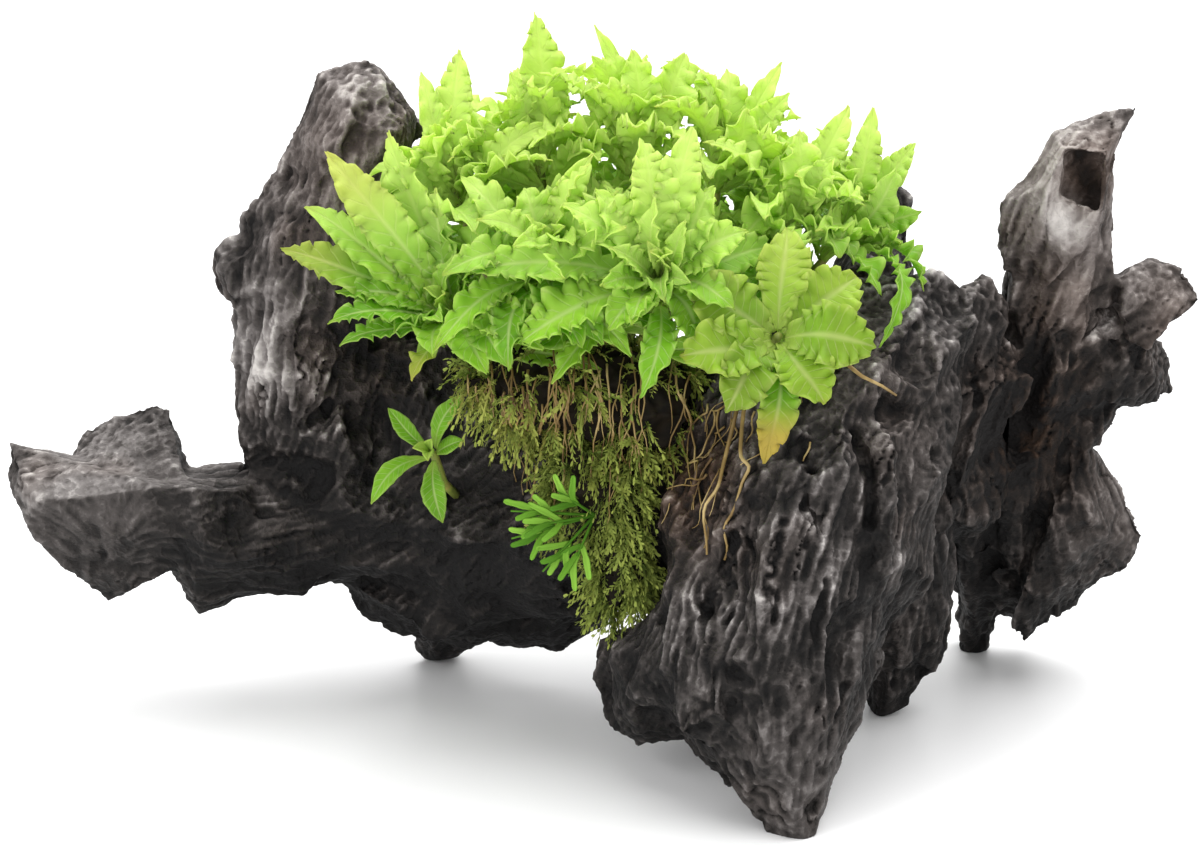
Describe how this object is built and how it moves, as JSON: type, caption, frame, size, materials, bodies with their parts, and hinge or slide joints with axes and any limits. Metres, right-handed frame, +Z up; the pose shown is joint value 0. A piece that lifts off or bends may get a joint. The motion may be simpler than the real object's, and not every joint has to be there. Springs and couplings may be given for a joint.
{
  "type": "aquarium plant on driftwood",
  "caption": "Rosettes of a crisped, bright green aquarium plant growing with moss on a gnarled, branching piece of dark driftwood that stands on pointed feet.",
  "frame": {"origin": "middle of the footprint of the whole object, at the level that its feet stand on", "axes": "+X along the wood to the side with the upright horn, +Y to the back, +Z up"},
  "size_m": [0.2448, 0.1102, 0.1441],
  "materials": {
    "driftwood": "weathered, grooved and matt",
    "downoi_leaf": "soft satin leaf",
    "moss": "matt and fibrous",
    "fern": "matt leaf",
    "root": "thin pale root, matt"
  },
  "bodies": {
    "root": {"wood_trunk": "driftwood", "wood_left_arm": "driftwood", "wood_left_spur": "driftwood", "wood_left_foot": "driftwood", "wood_back_spur": "driftwood", "wood_right_limb": "driftwood", "wood_horn": "driftwood", "wood_knuckle": "driftwood", "wood_middle_leg": "driftwood", "wood_inner_leg": "driftwood", "wood_outer_leg": "driftwood", "crown_front": "downoi_leaf", "crown_centre": "downoi_leaf", "crown_left": "downoi_leaf", "crown_middle": "downoi_leaf", "crown_high_left": "downoi_leaf", "crown_top_left": "downoi_leaf", "crown_top": "downoi_leaf", "crown_top_right": "downoi_leaf", "crown_right": "downoi_leaf", "crown_far_right": "downoi_leaf", "crown_back_left": "downoi_leaf", "crown_back_middle": "downoi_leaf", "crown_back_right": "downoi_leaf", "crown_plantlet": "downoi_leaf", "leaf_front_left": "downoi_leaf", "leaf_front_low_left": "downoi_leaf", "leaf_front_low": "downoi_leaf", "leaf_front_low_right": "downoi_leaf", "leaf_front_right": "downoi_leaf", "leaf_front_high_right": "downoi_leaf", "leaf_front_high": "downoi_leaf", "leaf_front_high_left": "downoi_leaf", "leaf_centre_left": "downoi_leaf", "leaf_centre_right": "downoi_leaf", "leaf_left_tall": "downoi_leaf", "leaf_left_long": "downoi_leaf", "leaf_left_side": "downoi_leaf", "leaf_left_low": "downoi_leaf", "leaf_left_hook": "downoi_leaf", "leaf_left_front": "downoi_leaf", "leaf_left_crest": "downoi_leaf", "leaf_high_left_tall": "downoi_leaf", "leaf_top_left_tall": "downoi_leaf", "leaf_top_tall": "downoi_leaf", "leaf_top_right_tall": "downoi_leaf", "leaf_far_right_high": "downoi_leaf", "leaf_far_right_fork": "downoi_leaf", "leaf_far_right_drooping": "downoi_leaf", "leaf_plantlet_left": "downoi_leaf", "leaf_plantlet_low": "downoi_leaf", "leaf_plantlet_high_left": "downoi_leaf", "leaf_plantlet_high": "downoi_leaf", "moss_upper": "moss", "moss_lower": "moss", "fern_sprig": "fern", "root_left": "root", "root_middle": "root", "root_curled": "root", "root_right": "root"}
  },
  "joints": []
}
